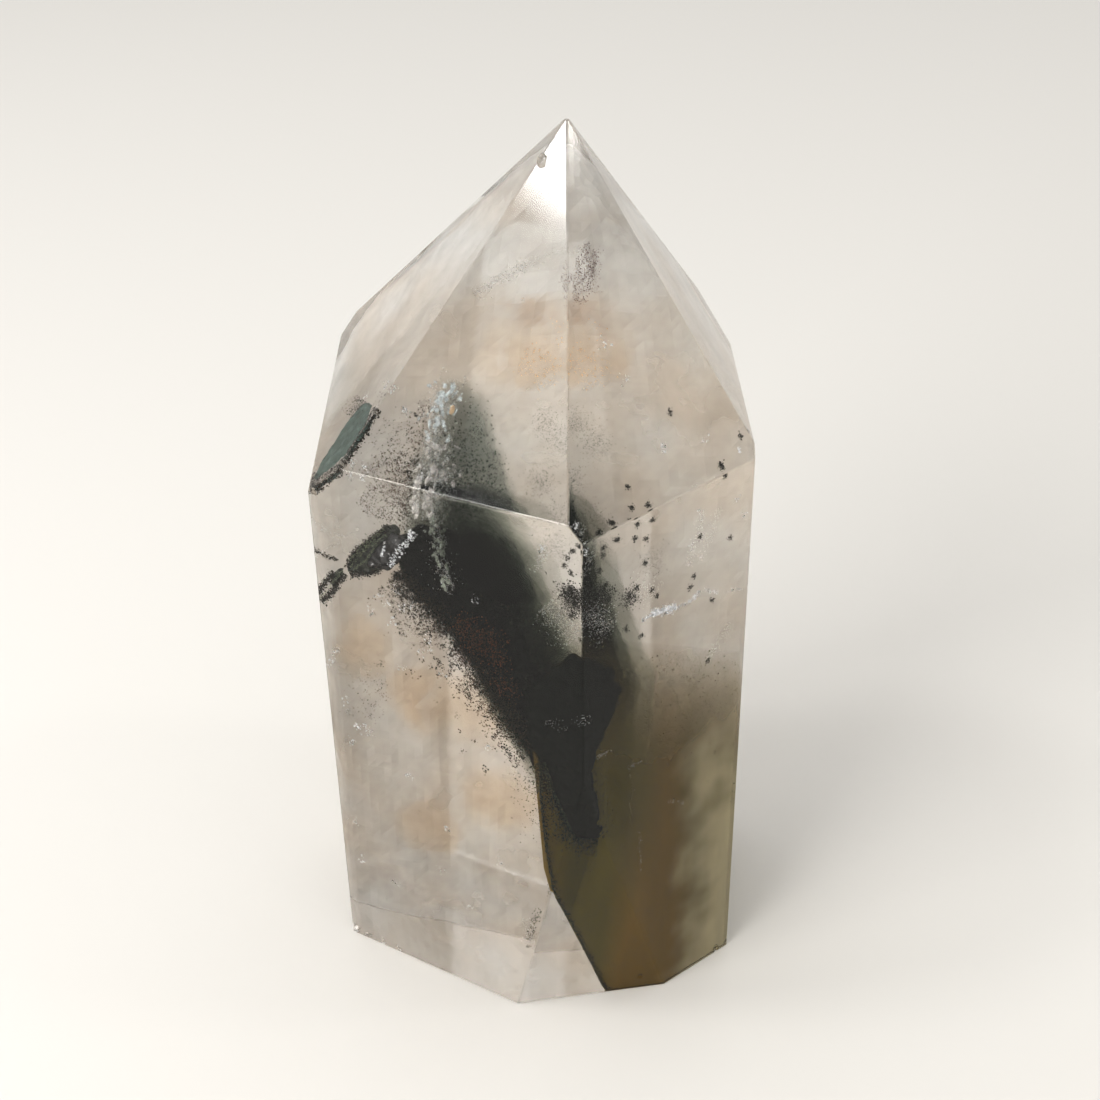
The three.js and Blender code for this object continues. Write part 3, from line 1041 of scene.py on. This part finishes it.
class QUARTZ_OT_chlorite_seam(bpy.types.Operator):
    """Lay the chlorite seam at the left, with its glossy black flake"""

    bl_idname = "quartz.chlorite_seam"
    bl_label = "Chlorite Seam"

    def execute(self, context):
        rng = np.random.default_rng(31)
        seam = joined("seam_wedge", [plate(*measures) for measures in SEAM_PLATES])
        dark_streaks = ((0.0, (0.012, 0.014, 0.01)), (0.5, (0.03, 0.036, 0.025)), (0.68, (0.09, 0.11, 0.075)))
        finish_piece(seam, "phantom", streaky_material("seam_chlorite", dark_streaks))
        band = plate("teal_band", 0.9, 2.2, 0.25, 3, 0.6, 0.9, BAND)
        teal = ((0.0, (0.05, 0.075, 0.06)), (0.5, (0.09, 0.145, 0.12)), (0.75, (0.16, 0.23, 0.20)))
        finish_piece(band, "phantom", streaky_material("teal_chlorite", teal, 0.5))
        flake = plate("seam_flake", 2.0, 2.8, 0.25, 2, 0.4, 0.9, SEAM_FLAKE)
        glossy = grain_material("glossy_black", (0.008, 0.008, 0.01), 0.1, 0.8)
        finish_piece(flake, "phantom", glossy)
        dark = grain_material("seam_dark", (0.02, 0.021, 0.014))
        brown = grain_material("seam_brown", (0.06, 0.042, 0.028))
        pale = grain_material("seam_pale", (0.34, 0.38, 0.26))
        rails = strewn(SEAM_RAILS, rng)
        band_end = scatter_along(BAND_END, rng.normal(2, 6, 500), rng.normal(0, 0.2, 500), rng)
        places = np.concatenate([rails, band_end, strewn(SEAM_ENDS, rng)])
        add_grains("seam_grains", places, (0.1, 0.3), (dark, brown), rng, "phantom", shares=(0.7, 0.3))
        add_grains("seam_hairs", strewn(SEAM_HAIRS, rng), (0.06, 0.16), (pale,), rng, "phantom")
        return {"FINISHED"}


class QUARTZ_OT_crumbs(bpy.types.Operator):
    """Sprinkle the white crumbs, the fracture, the streaks and the sparkling flakes; the silver flakes and
    the crumb lumps have a painted glow
    """

    bl_idname = "quartz.crumbs"
    bl_label = "Crumbs And Sparkles"

    def execute(self, context):
        rng = np.random.default_rng(41)
        white = grain_material("crumb_white", (0.93, 0.95, 0.96), 0.5, 0.5)
        cream = grain_material("crumb_cream", (0.86, 0.80, 0.73), 0.6, 0.4)
        # The silver air gaps are metallic and have a painted glow.
        metallic_and_painted_glow = {"Metallic": 0.6, "Emission_Color": (1.0, 1.0, 1.0, 1), "Emission_Strength": SILVER_PAINTED_GLOW}
        silver = grain_material("air_gap_silver", (0.96, 0.97, 1.0), 0.22, 0.5, **metallic_and_painted_glow)
        column = PEAK_CRUMBS_TOP + PEAK_CRUMBS_MIDDLE[1:] + PEAK_CRUMBS_FOOT[1:]
        upper = crumb_cells(rng, PEAK_CRUMBS_TOP + PEAK_CRUMBS_MIDDLE[1:], 90, 30, 8)
        cells = np.concatenate([upper, crumb_cells(rng, PEAK_CRUMBS_FOOT, 26, 30, 3)])
        strokes = strewn([(500, 9, 0.5, [column]), *WHITE_STREAKS], rng)
        chip = scatter_along(CHIP_WHITE, rng.normal(0, 3.5, 180), rng.exponential(0.2, 180), rng)
        places = np.concatenate([cells, strokes, chip, strewn(WHITE_WISPS, rng)])
        sizes = np.full(len(places), 0.12)
        sizes[: len(cells)] = rng.uniform(0.07, 0.18, len(cells))
        add_grains("white_crumbs", places, sizes, (white, cream), rng, None, (0.7, 0.3))
        for name, path, count, spread, colours in (
            ("crumbs_top", PEAK_CRUMBS_TOP, 52, 9, ((0.93, 0.96, 0.98), (0.62, 0.68, 0.70))),
            ("crumbs_middle", PEAK_CRUMBS_MIDDLE, 50, 10, ((0.82, 0.80, 0.77), (0.42, 0.39, 0.38))),
            ("crumbs_foot", PEAK_CRUMBS_FOOT, 36, 4, ((0.42, 0.45, 0.39), (0.14, 0.16, 0.13))),
        ):
            lumps = []
            for place in scatter_along(path, rng.normal(0, spread, count), rng.normal(-0.4, 0.6, count), rng):
                widths = (*rng.uniform(0.15, 0.5, 2), rng.uniform(0.3, 1.2))
                lumps.append(pebble(place, widths, tuple(rng.normal(0, 0.35, 3)), 1.1, 0.3, 2))
            # The crumb lumps have a painted glow of their first colour.
            crumb = cloud_material(name, colours, 1600, (0.0, 1.0), glow=CRUMB_PAINTED_GLOW)
            finish_piece(joined(name, lumps), None, crumb)
        orange = pebble(spots([ORANGE_CRUMB])[0], (0.55, 0.4, 1.2), (0.2, 0.1, 0), 0.6, 0.4, 2)
        orange.name = "orange_crumb"
        colours = ((0.80, 0.45, 0.22), (0.75, 0.58, 0.40))
        rusty = cloud_material("orange_crumb", colours, 900, (0.8, 1.0))
        finish_piece(orange, None, rusty)
        strokes = strewn(SILVER_STROKES, rng)
        places = np.concatenate([strokes, around(spots(SPARKLES), 12, 0.28, rng)])
        bright = (silver, white)
        add_grains(
            "sparkle_flakes", places, (0.12, 0.42), bright, rng, None, (0.75, 0.25), 0.15
        )
        return {"FINISHED"}


def crumb_cells(rng, path, count, grains, spread):
    """Grains round the walls of long open cells, which hang in a column below the peak."""
    centres = scatter_along(path, rng.normal(0, spread, count), rng.normal(0, 0.4, count), rng)
    wide, high = rng.uniform(0.06, 0.38, (count, 1)), rng.uniform(0.3, 1.7, (count, 1))
    angle = rng.uniform(0, 2 * math.pi, (count, 1)) + rng.uniform(0, 4.2, (count, grains))
    lean = rng.normal(0, 0.2, (count, 1))
    across, up = wide * np.cos(angle), high * np.sin(angle)
    walls = np.stack([across + lean * up, 0.3 * across, up], axis=2) + rng.normal(0, 0.07, (count, grains, 3))
    return (centres[:, None] + walls * MM).reshape(-1, 3)


class QUARTZ_OT_specks(bpy.types.Operator):
    """Scatter the black specks, the smudges, the brown speck clouds and the rusty crumbs"""

    bl_idname = "quartz.specks"
    bl_label = "Specks"

    def execute(self, context):
        rng = np.random.default_rng(51)
        black = grain_material("speck_black", (0.015, 0.015, 0.013))
        grey = grain_material("speck_grey", (0.07, 0.075, 0.065))
        brown = grain_material("speck_brown", (0.10, 0.055, 0.035))
        plum = grain_material("speck_plum", (0.25, 0.19, 0.19))
        rose = grain_material("speck_rose", (0.55, 0.45, 0.42))
        specks = around(spots(BLACK_SPECKS), 60, 0.15, rng)
        smudges = around(spots(SMUDGES), 420, 0.8, rng)
        edge = around(spots(EDGE_CLUSTER), 420, 0.55, rng)
        places = np.concatenate([specks, edge, smudges])
        coarse, fine = rng.uniform(0.08, 0.24, len(specks) + len(edge)), rng.uniform(0.05, 0.12, len(smudges))
        sizes = np.concatenate([coarse, fine])
        add_grains("black_specks", places, sizes, (black, grey), rng, shares=(0.75, 0.25))
        clouds = []
        for count, depth, outline in BROWN_CLOUDS:
            pixels = within(outline, count, rng)
            clouds.append(into_crystal(pixels, depth + rng.normal(0, 1.2, count)))
        places = clumped(np.concatenate(clouds), rng, 700, 0.24 * MM)
        add_grains("brown_specks", places, (0.07, 0.2), (brown, grey), rng)
        crumbs = clumped(strewn(TIP_CRUMBS, rng), rng, 260, 0.22 * MM)
        add_grains("tip_crumbs", crumbs, (0.05, 0.16), (plum, rose), rng)
        return {"FINISHED"}


class QUARTZ_OT_haze(bpy.types.Operator):
    """Hang the milky haze in the middle of the crystal"""

    bl_idname = "quartz.haze"
    bl_label = "Milky Haze"

    def execute(self, context):
        look = context.scene.quartz_look
        faces = under_skin(HAZE_DEPTH, -HAZE_BELOW)
        faces.append((Vector((0, -1, 0)), HAZE_FRONT * MM))
        haze = softened(ground_block("milky_haze", faces), 1.0, 12, 2.0, 7.0)
        haze = grind(haze, [(Vector((0, 0, -1)), -BASE_SKIN * MM)])
        fade = ((0, -1, 0), HAZE_FADE[0] * MM, HAZE_FADE[1] * MM)
        colours = (look.haze_colour, look.haze_warm)
        milky = cloud_material("milky_haze", colours, 120, HAZE_THICKNESS, fade=fade)
        finish_piece(haze, "clear_quartz", milky)
        rng = np.random.default_rng(61)
        clouds = [
            pebble(place, cloud[3], tuple(rng.uniform(0, math.pi, 3)), 0.5, 3.0)
            for place, cloud in zip(spots([cloud[:3] for cloud in PEACH_CLOUDS]), PEACH_CLOUDS)
        ]
        stain = stained_material("iron_stain", look.peach, PEACH_DENSITY)
        finish_piece(joined("peach_clouds", clouds), "clear_quartz", stain)
        gold = grain_material("gold_flecks", (0.86, 0.55, 0.30))
        pixels = np.concatenate([within(patch, GOLD_COUNT // 2, rng) for patch in (GOLD_PATCH, GOLD_HEART)])
        places = into_crystal(pixels, GOLD_DEPTH + rng.normal(0, 1.0, GOLD_COUNT))
        places = clumped(places, rng, 800, 0.3 * MM)
        add_grains("gold_flecks", places, (0.06, 0.18), (gold,), rng)
        return {"FINISHED"}


class QUARTZ_OT_stage(bpy.types.Operator):
    """Set the pale floor, the soft lights and the photograph's camera"""

    bl_idname = "quartz.stage"
    bl_label = "Stage"

    def execute(self, context):
        look = context.scene.stage_look
        scene = context.scene
        select_only()
        bpy.ops.mesh.primitive_plane_add(size=6, location=(0, 0, -0.05 * MM))
        apply_place()
        floor = context.object
        floor.name = "floor"
        material, tree, output = new_material("pale_floor")
        principled(tree, output, Base_Color=(*look.floor_colour, 1), Roughness=0.9)
        floor.data.materials.append(material)
        world = bpy.data.worlds.new("soft_sky")
        world.use_nodes = True
        background = world.node_tree.nodes["Background"]
        background.inputs["Color"].default_value = (0.99, 0.985, 0.97, 1)
        background.inputs["Strength"].default_value = look.sky_strength
        scene.world = world
        for name, place, width, power, colour in SOFT_LIGHTS:
            add_softbox(name, place, width, getattr(look, power), colour)
        camera_data = bpy.data.cameras.new("photo_camera")
        camera_data.sensor_width = SENSOR
        camera_data.lens = PHOTO_FOCAL * SENSOR / PHOTO_SIDE
        camera_data.clip_start = 0.01
        camera = bpy.data.objects.new("photo_camera", camera_data)
        camera.location = CAMERA_AT
        camera.rotation_euler = (math.pi / 2 - CAMERA_DIP, 0, 0)
        scene.collection.objects.link(camera)
        scene.camera = camera
        scene.view_settings.view_transform = "Standard"
        scene.view_settings.look = "High Contrast"
        scene.cycles.max_bounces = LIGHT_BOUNCES
        scene.cycles.glossy_bounces = LIGHT_BOUNCES
        scene.cycles.transmission_bounces = LIGHT_BOUNCES
        scene.cycles.transparent_max_bounces = CLEAR_CROSSINGS
        return {"FINISHED"}


def add_softbox(name, place, width, power, colour):
    """A soft square light that looks at the middle of the crystal."""
    light = bpy.data.lights.new(name, "AREA")
    light.size = width
    light.energy = power
    light.color = colour
    box = bpy.data.objects.new(name, light)
    box.location = place
    target = (CAD_BOX[0] + CAD_BOX[1]) / 2
    box.rotation_euler = (target - Vector(place)).to_track_quat("-Z", "Y").to_euler()
    bpy.context.scene.collection.objects.link(box)


class QUARTZ_PT_panel(bpy.types.Panel):
    """The pieces of the phantom quartz point"""

    bl_idname = "QUARTZ_PT_panel"
    bl_label = "Phantom Quartz"
    bl_space_type = "VIEW_3D"
    bl_region_type = "UI"
    bl_category = "Phantom Quartz"

    def draw(self, context):
        for step in PIECES:
            self.layout.operator(step.bl_idname)
        for group in (context.scene.quartz_look, context.scene.stage_look):
            for name in type(group).__annotations__:
                self.layout.prop(group, name)


PIECES = (
    QUARTZ_OT_crystal,
    QUARTZ_OT_phantom_stain,
    QUARTZ_OT_phantom_grains,
    QUARTZ_OT_chlorite_seam,
    QUARTZ_OT_crumbs,
    QUARTZ_OT_specks,
    QUARTZ_OT_haze,
    QUARTZ_OT_stage,
)
CLASSES = (QuartzLook, StageLook, *PIECES, QUARTZ_PT_panel)


def register():
    for each in CLASSES:
        bpy.utils.register_class(each)
    bpy.types.Scene.quartz_look = PointerProperty(type=QuartzLook)
    bpy.types.Scene.stage_look = PointerProperty(type=StageLook)


def unregister():
    del bpy.types.Scene.stage_look
    del bpy.types.Scene.quartz_look
    for each in reversed(CLASSES):
        bpy.utils.unregister_class(each)


def main():
    register()
    bpy.ops.quartz.crystal()
    bpy.ops.quartz.phantom_stain()
    bpy.ops.quartz.phantom_grains()
    bpy.ops.quartz.chlorite_seam()
    bpy.ops.quartz.crumbs()
    bpy.ops.quartz.specks()
    bpy.ops.quartz.haze()
    bpy.ops.quartz.stage()


if __name__ == "__main__":
    main()
